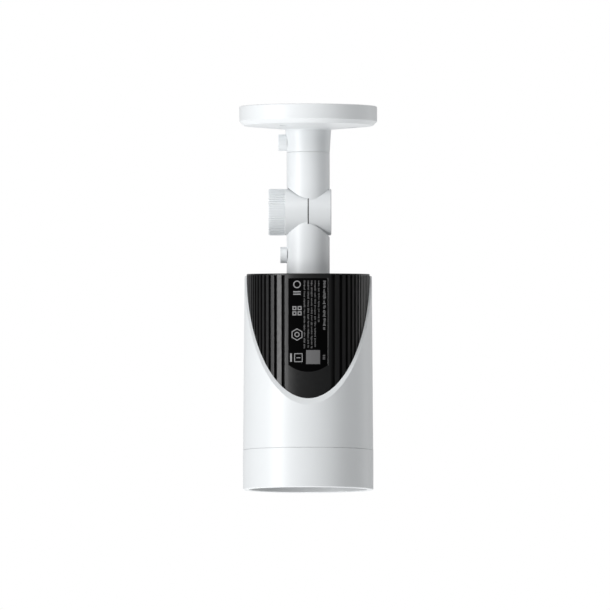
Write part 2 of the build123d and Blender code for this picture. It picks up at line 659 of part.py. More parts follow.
with BuildPart() as rear_housing:
    revolve(
        turned(
            (0, RIM_TOP),
            (HOUSING_RADIUS, RIM_TOP),
            (HOUSING_RADIUS, BODY_SEAM_HEIGHT),
            (HOUSING_BORE_RADIUS, BODY_SEAM_HEIGHT),
            (HOUSING_BORE_RADIUS, REAR_INNER_HEIGHT),
            (0, REAR_INNER_HEIGHT),
        ),
        axis=Axis.Z,
    )
    split(bisect_by=REAR_FACE_PLANE, keep=Keep.BOTTOM)
    fillet(rear_housing.faces().sort_by(Axis.Z)[-1].edges(), REAR_EDGE_ROUNDING)
    # Level pad under the lower arm
    with BuildSketch(Plane.XY.offset(REAR_INNER_HEIGHT)):
        Circle(REAR_PAD_RADIUS)
    extrude(amount=REAR_PAD_HEIGHT - REAR_INNER_HEIGHT)
    with BuildSketch(Plane.XY.offset(REAR_PAD_HEIGHT)):
        Circle(REAR_PAD_RADIUS)
    extrude(amount=RIM_TOP - REAR_PAD_HEIGHT, mode=Mode.SUBTRACT)
    with BuildSketch(Plane.XY.offset(REAR_PAD_HEIGHT)):
        Circle(SPIGOT_RADIUS)
    extrude(amount=REAR_INNER_HEIGHT - REAR_PAD_HEIGHT, mode=Mode.SUBTRACT)
    with BuildSketch(Plane.XY.offset(REAR_INNER_HEIGHT)):
        with PolarLocations(FLANGE_SCREW_CIRCLE, 3, start_angle=30):
            Circle(FLANGE_SCREW_RADIUS)
    extrude(amount=FLANGE_SCREW_HOLE_DEPTH, mode=Mode.SUBTRACT)
    add(rib_cutter.part, mode=Mode.SUBTRACT)
    add(label_pocket.part, mode=Mode.SUBTRACT)
    # Bevels along the label's two long sides
    with BuildSketch(Plane.XY.offset(LABEL_TOP_HEIGHT)):
        with PolarLocations(HOUSING_RADIUS, 1, start_angle=-90 - LABEL_SIDE_ANGLE):
            Rectangle(LABEL_FRAME_BEVEL * sqrt(2), LABEL_FRAME_BEVEL * sqrt(2), rotation=45)
        with PolarLocations(HOUSING_RADIUS, 1, start_angle=-90 + LABEL_SIDE_ANGLE):
            Rectangle(LABEL_FRAME_BEVEL * sqrt(2), LABEL_FRAME_BEVEL * sqrt(2), rotation=45)
    extrude(amount=LABEL_SIDE_HEIGHT - LABEL_TOP_HEIGHT, mode=Mode.SUBTRACT)
    # Screw seats, reset hole and speaker grille in the rear wall
    with BuildSketch(Plane.XY.offset(REAR_SCREW_SEAT)):
        with Locations(*REAR_SCREW_PLACES):
            Circle(REAR_SCREW_SINK_RADIUS)
    extrude(amount=RIM_TOP - REAR_SCREW_SEAT, mode=Mode.SUBTRACT)
    with BuildSketch(Plane.XY.offset(REAR_INNER_HEIGHT)):
        with Locations(*REAR_SCREW_PLACES):
            Circle(REAR_SCREW_RADIUS)
        with Locations((RESET_X, 0)):
            Circle(RESET_RADIUS + RUNNING_GAP)
        with Locations((0, SPEAKER_Y)):
            Circle(SPEAKER_HOLE_RADIUS)
            for ring in (1, 2):
                with PolarLocations(ring * SPEAKER_HOLE_PITCH, 6 * ring):
                    Circle(SPEAKER_HOLE_RADIUS)
    extrude(amount=RIM_TOP - REAR_INNER_HEIGHT, mode=Mode.SUBTRACT)
    # Flap recess with a finger notch, power inlet and card slot
    with BuildSketch(Plane.XY.offset(RECESS_FLOOR)):
        with Locations((0, 0.5 * (RECESS_INNER_Y + RECESS_OUTER_Y))):
            Rectangle(FLAP_WIDTH + 2 * FLAP_GAP, RECESS_OUTER_Y - RECESS_INNER_Y)
    extrude(amount=RIM_TOP - RECESS_FLOOR, mode=Mode.SUBTRACT)
    with BuildSketch(Plane.XY.offset(RECESS_FLOOR + 0.4)):
        with Locations((0, RECESS_INNER_Y)):
            Circle(FINGER_NOTCH_RADIUS)
    extrude(amount=RIM_TOP - RECESS_FLOOR, mode=Mode.SUBTRACT)
    with BuildSketch(Plane.XY.offset(RECESS_FLOOR)):
        with Locations((INLET_X, INLET_Y)):
            SlotOverall(INLET_WIDTH, INLET_THICKNESS)
        with Locations((CARD_X, CARD_Y)):
            Rectangle(CARD_WIDTH + 0.6, 1.2)
    extrude(amount=REAR_INNER_HEIGHT - RECESS_FLOOR, mode=Mode.SUBTRACT)
rear_housing.part.label = "rear_housing"
export_step(rear_housing.part, "parts/rear_housing.step")

with BuildPart() as id_label:
    with BuildSketch(Plane.XY.offset(LABEL_BOTTOM_HEIGHT - 1)):
        Circle(LABEL_FACE_RADIUS)
        Circle(LABEL_FLOOR_RADIUS, mode=Mode.SUBTRACT)
    extrude(amount=LABEL_TOP_HEIGHT - LABEL_BOTTOM_HEIGHT + 2)
    extrude(label_outline(), amount=2 * HOUSING_RADIUS, mode=Mode.INTERSECT)
id_label.part.label = "id_label"
export_step(id_label.part, "parts/id_label.step")

# ---------------------------------------------------------------- outer sleeve
with BuildPart() as outer_sleeve:
    revolve(
        turned(
            (SLEEVE_BORE_RADIUS, RIM_TOP),
            (SLEEVE_REAR_RADIUS, RIM_TOP),
            (SLEEVE_FRONT_RADIUS, BODY_SEAM_HEIGHT),
            (SLEEVE_BORE_RADIUS, BODY_SEAM_HEIGHT),
        ),
        axis=Axis.Z,
    )
    split(bisect_by=REAR_FACE_PLANE.offset(-SLEEVE_STEP), keep=Keep.BOTTOM)
    fillet(outer_sleeve.faces().sort_by(Axis.Z)[-1].outer_wire().edges(), 0.5)
    split(bisect_by=SLEEVE_CUT_PLANE, keep=Keep.BOTTOM)
outer_sleeve.part.label = "outer_sleeve"
export_step(outer_sleeve.part, "parts/outer_sleeve.step")

# ---------------------------------------------------------------- front ring, seal and window
SEAL_GROOVE_HALF = 0.9

with BuildPart() as front_ring:
    revolve(
        turned(
            (RING_LIP_RADIUS, RING_END_HEIGHT),
            (RING_LIP_RADIUS, WINDOW_BACK_HEIGHT),
            (BEZEL_RADIUS, WINDOW_BACK_HEIGHT),
            (BEZEL_RADIUS, BEZEL_BACK_HEIGHT),
            (RING_BORE_RADIUS, BEZEL_BACK_HEIGHT),
            (RING_BORE_RADIUS, RING_SPIGOT_HEIGHT),
            (RING_SPIGOT_RADIUS, RING_SPIGOT_HEIGHT),
            (RING_SPIGOT_RADIUS, SEAL_HEIGHT + SEAL_GROOVE_HALF),
            (SEAL_RADIUS - SEAL_WIRE_RADIUS, SEAL_HEIGHT + SEAL_GROOVE_HALF),
            (SEAL_RADIUS - SEAL_WIRE_RADIUS, SEAL_HEIGHT - SEAL_GROOVE_HALF),
            (RING_SPIGOT_RADIUS, SEAL_HEIGHT - SEAL_GROOVE_HALF),
            (RING_SPIGOT_RADIUS, RING_TOP_HEIGHT),
            (RING_RADIUS, RING_TOP_HEIGHT),
            (RING_RADIUS, RING_END_HEIGHT),
            rounding=[0.4, 0, 0, 0, 0, 0, 0.2, 0, 0, 0, 0, 0, 0.1, 0.5],
        ),
        axis=Axis.Z,
    )
front_ring.part.label = "front_ring"
export_step(front_ring.part, "parts/front_ring.step")

with BuildPart() as front_seal:
    with BuildSketch(Plane.XZ):
        with Locations((SEAL_RADIUS, SEAL_HEIGHT)):
            Circle(SEAL_WIRE_RADIUS)
    revolve(axis=Axis.Z)
front_seal.part.label = "front_seal"
export_step(front_seal.part, "parts/front_seal.step")

with BuildPart() as front_window:
    with BuildSketch(Plane.XY.offset(WINDOW_FRONT_HEIGHT)):
        Circle(WINDOW_RADIUS)
    extrude(amount=WINDOW_BACK_HEIGHT - WINDOW_FRONT_HEIGHT)
    chamfer(front_window.faces().sort_by(Axis.Z)[0].edges(), 0.3)
front_window.part.label = "front_window"
export_step(front_window.part, "parts/front_window.step")

LENS_APERTURE = 9.4
IR_LED_RADIUS = 2.5
SPOT_LENS_RADIUS = 4.0
SMALL_SENSOR_CIRCLE = 22.5
LIGHT_SENSOR_ANGLE = 247.5
MICROPHONE_ANGLE = 292.5
LED_TIP_HEIGHT = -184.4


def around(radius, angle):
    """The point at an angle, in degrees from +X, on a circle round the camera's axis."""
    return (radius * cos(radians(angle)), radius * sin(radians(angle)))


IR_LED_PLACES = [around(LED_CIRCLE_RADIUS, angle) for angle in IR_LED_ANGLES]
SPOT_LED_PLACES = [around(LED_CIRCLE_RADIUS, angle) for angle in SPOT_LED_ANGLES]
LIGHT_SENSOR_PLACE = around(SMALL_SENSOR_CIRCLE, LIGHT_SENSOR_ANGLE)
MICROPHONE_PLACE = around(SMALL_SENSOR_CIRCLE, MICROPHONE_ANGLE)

with BuildPart() as lens_bezel:
    with BuildSketch(Plane.XY.offset(BEZEL_BACK_HEIGHT)):
        Circle(BEZEL_RADIUS)
        Circle(LENS_APERTURE, mode=Mode.SUBTRACT)
        with Locations(*IR_LED_PLACES):
            Circle(IR_LED_RADIUS + 0.3, mode=Mode.SUBTRACT)
        with Locations(*SPOT_LED_PLACES):
            Circle(SPOT_LENS_RADIUS + 0.2, mode=Mode.SUBTRACT)
        with Locations(LIGHT_SENSOR_PLACE, MICROPHONE_PLACE):
            Circle(1.0, mode=Mode.SUBTRACT)
    extrude(amount=WINDOW_BACK_HEIGHT - BEZEL_BACK_HEIGHT)
lens_bezel.part.label = "lens_bezel"
export_step(lens_bezel.part, "parts/lens_bezel.step")

# ---------------------------------------------------------------- chassis
with BuildPart() as chassis:
    # Rear disc with posts up to the rear wall, and a notch for the service board
    with BuildSketch(Plane.XY.offset(CHASSIS_REAR_HEIGHT)):
        Circle(CHASSIS_RADIUS)
        with Locations((0, 21.5)):
            Rectangle(27, 17, mode=Mode.SUBTRACT)
    extrude(amount=-CHASSIS_DISC)
    with BuildSketch(Plane.XY.offset(REAR_INNER_HEIGHT)):
        with Locations(*REAR_SCREW_PLACES):
            Circle(REAR_SCREW_POST_RADIUS)
    extrude(amount=CHASSIS_REAR_HEIGHT - REAR_INNER_HEIGHT)
    # Front disc with spacers for the sensor board
    with BuildSketch(Plane.XY.offset(CHASSIS_FRONT_HEIGHT)):
        Circle(CHASSIS_RADIUS)
        Circle(CHASSIS_FRONT_BORE_RADIUS, mode=Mode.SUBTRACT)
    extrude(amount=CHASSIS_DISC)
    with BuildSketch(Plane.XY.offset(CHASSIS_FRONT_HEIGHT)):
        with GridLocations(2 * SENSOR_SCREW_OFFSET, 2 * SENSOR_SCREW_OFFSET, 2, 2):
            Circle(SPACER_RADIUS)
    extrude(amount=SENSOR_BOARD_TOP - CHASSIS_FRONT_HEIGHT)
    # Channel-shaped tray between the discs
    with BuildSketch(Plane.XY.offset(CHASSIS_FRONT_HEIGHT + CHASSIS_DISC)):
        with Locations((0, TRAY_EDGE_Y)):
            Rectangle(
                2 * TRAY_HALF_WIDTH,
                TRAY_BACK_Y + TRAY_THICKNESS - TRAY_EDGE_Y,
                align=(Align.CENTER, Align.MIN),
            )
            Rectangle(
                2 * (TRAY_HALF_WIDTH - TRAY_WALL),
                TRAY_BACK_Y - TRAY_EDGE_Y,
                align=(Align.CENTER, Align.MIN),
                mode=Mode.SUBTRACT,
            )
    extrude(amount=CHASSIS_REAR_HEIGHT - CHASSIS_DISC - CHASSIS_FRONT_HEIGHT - CHASSIS_DISC)
    # Spacers for the main board and the service board
    with BuildSketch(Plane.XZ.offset(-TRAY_BACK_Y)):
        for height in BOARD_SCREW_HEIGHTS:
            with Locations((-BOARD_SCREW_X, height), (BOARD_SCREW_X, height)):
                Circle(SPACER_RADIUS)
    extrude(amount=TRAY_BACK_Y - BOARD_BACK_Y)
    with BuildSketch(Plane.XZ.offset(-TRAY_BACK_Y - TRAY_THICKNESS)):
        with Locations((-IO_SCREW_X, IO_SCREW_HEIGHT), (IO_SCREW_X, IO_SCREW_HEIGHT)):
            Circle(SPACER_RADIUS)
    extrude(amount=TRAY_BACK_Y + TRAY_THICKNESS - IO_BOARD_Y)
    # Screw holes
    with BuildSketch(Plane.XY.offset(REAR_INNER_HEIGHT)):
        with Locations(*REAR_SCREW_PLACES):
            Circle(REAR_SCREW_RADIUS)
    extrude(amount=CHASSIS_REAR_HEIGHT - REAR_INNER_HEIGHT, mode=Mode.SUBTRACT)
    with BuildSketch(Plane.XY.offset(SENSOR_BOARD_TOP)):
        with GridLocations(2 * SENSOR_SCREW_OFFSET, 2 * SENSOR_SCREW_OFFSET, 2, 2):
            Circle(BOARD_SCREW_RADIUS)
    extrude(amount=3, mode=Mode.SUBTRACT)
    with BuildSketch(Plane.XZ.offset(-BOARD_BACK_Y)):
        for height in BOARD_SCREW_HEIGHTS:
            with Locations((-BOARD_SCREW_X, height), (BOARD_SCREW_X, height)):
                Circle(BOARD_SCREW_RADIUS)
    extrude(amount=-3, mode=Mode.SUBTRACT)
    with BuildSketch(Plane.XZ.offset(-IO_BOARD_Y)):
        with Locations((-IO_SCREW_X, IO_SCREW_HEIGHT), (IO_SCREW_X, IO_SCREW_HEIGHT)):
            Circle(BOARD_SCREW_RADIUS)
    extrude(amount=4, mode=Mode.SUBTRACT)
chassis.part.label = "chassis"
export_step(chassis.part, "parts/chassis.step")

with BuildPart() as rear_screws:
    rear_screw = screw(2.5, 1.3, REAR_SCREW_RADIUS, 6.0)
    with Locations(*[(x, y, REAR_SCREW_SEAT) for x, y in REAR_SCREW_PLACES]):
        add(rear_screw)
rear_screws.part.label = "rear_screws"
export_step(rear_screws.part, "parts/rear_screws.step")

# ---------------------------------------------------------------- main board
with BuildPart() as main_board:
    with BuildSketch(Plane.XZ.offset(-BOARD_FACE_Y)):
        with Locations((0, 0.5 * (BOARD_TOP_HEIGHT + BOARD_END_HEIGHT))):
            RectangleRounded(2 * BOARD_HALF_WIDTH, BOARD_TOP_HEIGHT - BOARD_END_HEIGHT, 1.5)
        for height in BOARD_SCREW_HEIGHTS:
            with Locations((-BOARD_SCREW_X, height), (BOARD_SCREW_X, height)):
                Circle(BOARD_SCREW_RADIUS, mode=Mode.SUBTRACT)
    extrude(amount=-BOARD_THICKNESS)
main_board.part.label = "main_board"
export_step(main_board.part, "parts/main_board.step")

board_chips = (
    # name, centre x, centre height, width, length, thickness
    ("processor", 0, -124, 14, 14, 1.4),
    ("memory_chip", 0, -108, 9, 12, 1.0),
    ("wireless_module", 0, -144, 16, 17, 2.2),
)
for chip_name, chip_x, chip_height, chip_width, chip_length, chip_thickness in board_chips:
    with BuildPart() as chip:
        with BuildSketch(Plane.XZ.offset(-BOARD_FACE_Y)):
            with Locations((chip_x, chip_height)):
                RectangleRounded(chip_width, chip_length, 0.4)
        extrude(amount=chip_thickness)
    chip.part.label = chip_name
    export_step(chip.part, f"parts/{chip_name}.step")

with BuildPart() as thermal_pad:
    with BuildSketch(Plane.XZ.offset(-BOARD_BACK_Y)):
        with Locations((0, -124)):
            Rectangle(14, 14)
    extrude(amount=BOARD_BACK_Y - TRAY_BACK_Y)
thermal_pad.part.label = "thermal_pad"
export_step(thermal_pad.part, "parts/thermal_pad.step")

with BuildPart() as main_board_screws:
    board_screw = screw(1.9, 1.2, BOARD_SCREW_RADIUS, BOARD_THICKNESS + 2.6)
    for height in BOARD_SCREW_HEIGHTS:
        for side in (-1, 1):
            with Locations(Plane((side * BOARD_SCREW_X, BOARD_FACE_Y, height), z_dir=(0, -1, 0))):
                add(board_screw)
main_board_screws.part.label = "main_board_screws"
export_step(main_board_screws.part, "parts/main_board_screws.step")

with BuildPart() as wifi_antennas:
    for side in (-1, 1):
        with BuildSketch(Plane.YZ.offset(side * TRAY_HALF_WIDTH)):
            with Locations((3.5, -118)):
                Rectangle(8, 36)
        extrude(amount=side * 0.6)
wifi_antennas.part.label = "wifi_antennas"
export_step(wifi_antennas.part, "parts/wifi_antennas.step")

# ---------------------------------------------------------------- service board behind the flap
IO_BOARD_TOP = -89.0
IO_BOARD_END = -107.0
INLET_MOUTH = -86.2
INLET_LENGTH = 7.3

with BuildPart() as service_board:
    with BuildSketch(Plane.XZ.offset(-IO_BOARD_Y)):
        with Locations((0, 0.5 * (IO_BOARD_TOP + IO_BOARD_END))):
            Rectangle(24, IO_BOARD_TOP - IO_BOARD_END)
        with Locations((-IO_SCREW_X, IO_SCREW_HEIGHT), (IO_SCREW_X, IO_SCREW_HEIGHT)):
            Circle(BOARD_SCREW_RADIUS, mode=Mode.SUBTRACT)
    extrude(amount=-IO_BOARD_THICKNESS)
service_board.part.label = "service_board"
export_step(service_board.part, "parts/service_board.step")

with BuildPart() as service_board_screws:
    io_screw = screw(1.9, 1.2, BOARD_SCREW_RADIUS, IO_BOARD_THICKNESS + 3.4)
    io_outer_y = IO_BOARD_Y + IO_BOARD_THICKNESS
    for side in (-1, 1):
        with Locations(Plane((side * IO_SCREW_X, io_outer_y, IO_SCREW_HEIGHT), z_dir=(0, 1, 0))):
            add(io_screw)
service_board_screws.part.label = "service_board_screws"
export_step(service_board_screws.part, "parts/service_board_screws.step")

with BuildPart() as power_inlet:
    with BuildSketch(Plane.XY.offset(INLET_MOUTH)):
        with Locations((INLET_X, INLET_Y)):
            SlotOverall(INLET_WIDTH - 0.1, INLET_THICKNESS - 0.1)
    extrude(amount=-INLET_LENGTH)
    with BuildSketch(Plane.XY.offset(INLET_MOUTH)):
        with Locations((INLET_X, INLET_Y)):
            SlotOverall(INLET_WIDTH - 0.7, INLET_THICKNESS - 0.7)
            Rectangle(6.2, 0.7, mode=Mode.SUBTRACT)
    extrude(amount=1.2 - INLET_LENGTH, mode=Mode.SUBTRACT)
power_inlet.part.label = "power_inlet"
export_step(power_inlet.part, "parts/power_inlet.step")

with BuildPart() as card_holder:
    card_holder_top = -88.6
    with BuildSketch(Plane.XY.offset(card_holder_top)):
        with Locations((CARD_X, CARD_Y)):
            Rectangle(CARD_WIDTH + 1.6, 1.3)
            Rectangle(CARD_WIDTH + 0.2, 0.8, mode=Mode.SUBTRACT)
    extrude(amount=-11)
card_holder.part.label = "card_holder"
export_step(card_holder.part, "parts/card_holder.step")

with BuildPart() as memory_card:
    with BuildSketch(Plane.XZ.offset(-CARD_Y + 0.35)):
        with Locations((CARD_X, -94.2)):
            RectangleRounded(CARD_WIDTH, 14.8, 0.5)
    extrude(amount=-0.7)
memory_card.part.label = "memory_card"
export_step(memory_card.part, "parts/memory_card.step")

with BuildPart() as port_cover:
    with BuildSketch(Plane.YZ.offset(-0.5 * FLAP_WIDTH)):
        with BuildLine():
            Polyline(
                (FLAP_HINGE_Y, FLAP_TOP),
                (FLAP_INNER_Y, FLAP_TOP),
                (FLAP_INNER_Y, FLAP_UNDERSIDE),
                (FLAP_HINGE_Y, FLAP_UNDERSIDE),
            )
            ThreePointArc(
                (FLAP_HINGE_Y, FLAP_UNDERSIDE),
                (FLAP_HINGE_Y + FLAP_HALF_THICKNESS, FLAP_HINGE_HEIGHT),
                (FLAP_HINGE_Y, FLAP_TOP),
            )
        make_face()
    extrude(amount=FLAP_WIDTH)
    fillet(port_cover.edges().filter_by(Axis.X).group_by(Axis.Y)[0].sort_by(Axis.Z)[-1], 0.4)
port_cover.part.label = "port_cover"
export_step(port_cover.part, "parts/port_cover.step")

# ---------------------------------------------------------------- reset button, speaker
RESET_FLANGE_TOP = REAR_INNER_HEIGHT - RUNNING_GAP
RESET_FLANGE_END = RESET_FLANGE_TOP - 0.8

with BuildPart() as reset_button:
    revolve(
        turned(
            (0, RESET_TOP_HEIGHT),
            (RESET_RADIUS, RESET_TOP_HEIGHT),
            (RESET_RADIUS, RESET_FLANGE_TOP),
            (RESET_RADIUS + 0.8, RESET_FLANGE_TOP),
            (RESET_RADIUS + 0.8, RESET_FLANGE_END),
            (0, RESET_FLANGE_END),
            rounding=[0, 0.3, 0, 0, 0, 0],
        ).moved(Location((RESET_X, 0, 0))),
        axis=Axis((RESET_X, 0, 0), (0, 0, 1)),
    )
reset_button.part.label = "reset_button"
export_step(reset_button.part, "parts/reset_button.step")

with BuildPart() as reset_switch:
    with BuildSketch(Plane.XY.offset(CHASSIS_REAR_HEIGHT)):
        with Locations((RESET_X, 0)):
            RectangleRounded(4.6, 4.6, 0.4)
    extrude(amount=RESET_FLANGE_END - RESET_TRAVEL - RUNNING_GAP - CHASSIS_REAR_HEIGHT - 0.6)
    with BuildSketch(Plane.XY.offset(CHASSIS_REAR_HEIGHT)):
        with Locations((RESET_X, 0)):
            Circle(1.2)
    extrude(amount=RESET_FLANGE_END - RESET_TRAVEL - RUNNING_GAP - CHASSIS_REAR_HEIGHT)
reset_switch.part.label = "reset_switch"
export_step(reset_switch.part, "parts/reset_switch.step")

with BuildPart() as speaker:
    with BuildSketch(Plane.XY.offset(REAR_INNER_HEIGHT)):
        with Locations((0, SPEAKER_Y)):
            Circle(SPEAKER_RADIUS)
    extrude(amount=-0.6 * SPEAKER_DEPTH)
    with BuildSketch(Plane.XY.offset(REAR_INNER_HEIGHT)):
        with Locations((0, SPEAKER_Y)):
            Circle(0.7 * SPEAKER_RADIUS)
    extrude(amount=-SPEAKER_DEPTH)
speaker.part.label = "speaker"
export_step(speaker.part, "parts/speaker.step")

# ---------------------------------------------------------------- lens and image sensor
HOLDER_HALF = 8.5
HOLDER_END = -172.0
BARREL_LENS_RADIUS = 7.0
BARREL_BACK = -169.5
BARREL_FRONT = -184.6

with BuildPart() as sensor_board:
    with BuildSketch(Plane.XY.offset(SENSOR_BOARD_TOP)):
        RectangleRounded(30, 30, 1.5)
        with GridLocations(2 * SENSOR_SCREW_OFFSET, 2 * SENSOR_SCREW_OFFSET, 2, 2):
            Circle(BOARD_SCREW_RADIUS, mode=Mode.SUBTRACT)
    extrude(amount=-BOARD_THICKNESS)
sensor_board.part.label = "sensor_board"
export_step(sensor_board.part, "parts/sensor_board.step")

with BuildPart() as sensor_board_screws:
    sensor_screw = screw(1.9, 1.2, BOARD_SCREW_RADIUS, BOARD_THICKNESS + 2.6)
    with Locations(Plane((0, 0, SENSOR_BOARD_FACE), x_dir=(1, 0, 0), z_dir=(0, 0, -1))):
        with GridLocations(2 * SENSOR_SCREW_OFFSET, 2 * SENSOR_SCREW_OFFSET, 2, 2):
            add(sensor_screw)
sensor_board_screws.part.label = "sensor_board_screws"
export_step(sensor_board_screws.part, "parts/sensor_board_screws.step")

with BuildPart() as image_sensor:
    with BuildSketch(Plane.XY.offset(SENSOR_BOARD_FACE)):
        Rectangle(9, 8)
    extrude(amount=-0.9)
image_sensor.part.label = "image_sensor"
export_step(image_sensor.part, "parts/image_sensor.step")

with BuildPart() as lens_holder:
    with BuildSketch(Plane.XY.offset(SENSOR_BOARD_FACE)):
        RectangleRounded(2 * HOLDER_HALF, 2 * HOLDER_HALF, 1.5)
    extrude(amount=-4)
    with BuildSketch(Plane.XY.offset(SENSOR_BOARD_FACE)):
        Circle(HOLDER_HALF)
    extrude(amount=HOLDER_END - SENSOR_BOARD_FACE)
    with BuildSketch(Plane.XY.offset(SENSOR_BOARD_FACE)):
        Rectangle(11, 11)
    extrude(amount=-2.4, mode=Mode.SUBTRACT)
    with BuildSketch(Plane.XY.offset(SENSOR_BOARD_FACE)):
        Circle(4.5)
    extrude(amount=HOLDER_END - SENSOR_BOARD_FACE, mode=Mode.SUBTRACT)
    with BuildSketch(Plane.XY.offset(BARREL_BACK)):
        Circle(BARREL_LENS_RADIUS)
    extrude(amount=HOLDER_END - BARREL_BACK, mode=Mode.SUBTRACT)
lens_holder.part.label = "lens_holder"
export_step(lens_holder.part, "parts/lens_holder.step")

with BuildPart() as ir_filter:
    with BuildSketch(Plane.XY.offset(SENSOR_BOARD_FACE - 2.0)):
        Rectangle(11, 11)
    extrude(amount=-0.4)
ir_filter.part.label = "ir_filter"
export_step(ir_filter.part, "parts/ir_filter.step")

with BuildPart() as lens_barrel:
    revolve(
        turned(
            (4.4, BARREL_BACK),
            (BARREL_LENS_RADIUS, BARREL_BACK),
            (BARREL_LENS_RADIUS, -178.6),
            (9.0, -180.4),
            (9.0, BARREL_FRONT),
            (7.6, BARREL_FRONT),
            (6.4, -183.4),
            (6.4, -179.6),
            (4.4, -179.6),
        ),
        axis=Axis.Z,
    )
lens_barrel.part.label = "lens_barrel"
export_step(lens_barrel.part, "parts/lens_barrel.step")

# A domed front element and a biconvex rear one, each turned from two arcs
with BuildPart() as front_lens:
    with BuildSketch(Plane.XZ):
        with BuildLine():
            Polyline((0, -184.3), (0, -179.6), (6.4, -179.6), (6.4, -182.0))
            TangentArc((0, -184.3), (6.4, -182.0), tangent=(1, 0))
        make_face()
    revolve(axis=Axis.Z)
front_lens.part.label = "front_lens"
export_step(front_lens.part, "parts/front_lens.step")

with BuildPart() as rear_lens:
    with BuildSketch(Plane.XZ):
        with BuildLine():
            TangentArc((0, -170.2), (4.4, -171.4), tangent=(1, 0))
            Line((4.4, -171.4), (4.4, -173.4))
            TangentArc((0, -174.2), (4.4, -173.4), tangent=(1, 0))
            Line((0, -174.2), (0, -170.2))
        make_face()
    revolve(axis=Axis.Z)
rear_lens.part.label = "rear_lens"
export_step(rear_lens.part, "parts/rear_lens.step")

# ---------------------------------------------------------------- light ring behind the window
LED_POST_ANGLES = (22.5, 157.5, 202.5, 337.5)
LED_POST_PLACES = [around(LED_POST_CIRCLE, angle) for angle in LED_POST_ANGLES]

with BuildPart() as led_board_posts:
    with BuildSketch(Plane.XY.offset(CHASSIS_FRONT_HEIGHT)):
        with Locations(*LED_POST_PLACES):
            RegularPolygon(2.2, 6)
            Circle(BOARD_SCREW_RADIUS, mode=Mode.SUBTRACT)
    extrude(amount=LED_BOARD_TOP - CHASSIS_FRONT_HEIGHT)
led_board_posts.part.label = "led_board_posts"
export_step(led_board_posts.part, "parts/led_board_posts.step")

with BuildPart() as led_board:
    with BuildSketch(Plane.XY.offset(LED_BOARD_TOP)):
        Circle(LED_BOARD_RADIUS)
        Circle(LED_BOARD_BORE, mode=Mode.SUBTRACT)
        with Locations(*LED_POST_PLACES):
            Circle(BOARD_SCREW_RADIUS, mode=Mode.SUBTRACT)
    extrude(amount=-BOARD_THICKNESS)
led_board.part.label = "led_board"
export_step(led_board.part, "parts/led_board.step")

with BuildPart() as led_board_screws:
    led_screw = screw(1.9, 1.2, BOARD_SCREW_RADIUS, BOARD_THICKNESS + 4)
    for x, y in LED_POST_PLACES:
        with Locations(Plane((x, y, LED_BOARD_FACE), x_dir=(1, 0, 0), z_dir=(0, 0, -1))):
            add(led_screw)
led_board_screws.part.label = "led_board_screws"
export_step(led_board_screws.part, "parts/led_board_screws.step")

with BuildPart() as ir_leds:
    with BuildSketch(Plane.XY.offset(LED_BOARD_FACE)):
        with Locations(*IR_LED_PLACES):
            Circle(IR_LED_RADIUS)
    extrude(amount=LED_TIP_HEIGHT - LED_BOARD_FACE)
    fillet(ir_leds.edges().group_by(Axis.Z)[0], 1.9)
ir_leds.part.label = "ir_leds"
export_step(ir_leds.part, "parts/ir_leds.step")

with BuildPart() as spotlight_leds:
    with BuildSketch(Plane.XY.offset(LED_BOARD_FACE)):
        with Locations(*SPOT_LED_PLACES):
            Rectangle(SPOT_LED_SIDE, SPOT_LED_SIDE)
    extrude(amount=-0.8)
spotlight_leds.part.label = "spotlight_leds"
export_step(spotlight_leds.part, "parts/spotlight_leds.step")

with BuildPart() as spotlight_lenses:
    with BuildSketch(Plane.XY.offset(LED_BOARD_FACE)):
        with Locations(*SPOT_LED_PLACES):
            Circle(SPOT_LENS_RADIUS)
            Rectangle(SPOT_LED_SIDE + 0.1, SPOT_LED_SIDE + 0.1, mode=Mode.SUBTRACT)
    extrude(amount=-0.9)
    with BuildSketch(Plane.XY.offset(LED_BOARD_FACE - 0.9)):
        with Locations(*SPOT_LED_PLACES):
            Circle(SPOT_LENS_RADIUS)
    extrude(amount=LED_TIP_HEIGHT - LED_BOARD_FACE + 0.9)
    fillet(spotlight_lenses.edges().group_by(Axis.Z)[0], 1.2)
spotlight_lenses.part.label = "spotlight_lenses"
export_step(spotlight_lenses.part, "parts/spotlight_lenses.step")

with BuildPart() as light_sensor:
    with BuildSketch(Plane.XY.offset(LED_BOARD_FACE)):
        with Locations(LIGHT_SENSOR_PLACE):
            Circle(LIGHT_SENSOR_RADIUS)
    extrude(amount=LED_TIP_HEIGHT - LED_BOARD_FACE)
    fillet(light_sensor.edges().group_by(Axis.Z)[0], 0.5)
light_sensor.part.label = "light_sensor"
export_step(light_sensor.part, "parts/light_sensor.step")

with BuildPart() as microphone:
    with BuildSketch(Plane.XY.offset(LED_BOARD_FACE)):
        with Locations(MICROPHONE_PLACE):
            Circle(MICROPHONE_RADIUS)
            Circle(MICROPHONE_PORT_RADIUS, mode=Mode.SUBTRACT)
    extrude(amount=-1.6)
microphone.part.label = "microphone"
export_step(microphone.part, "parts/microphone.step")
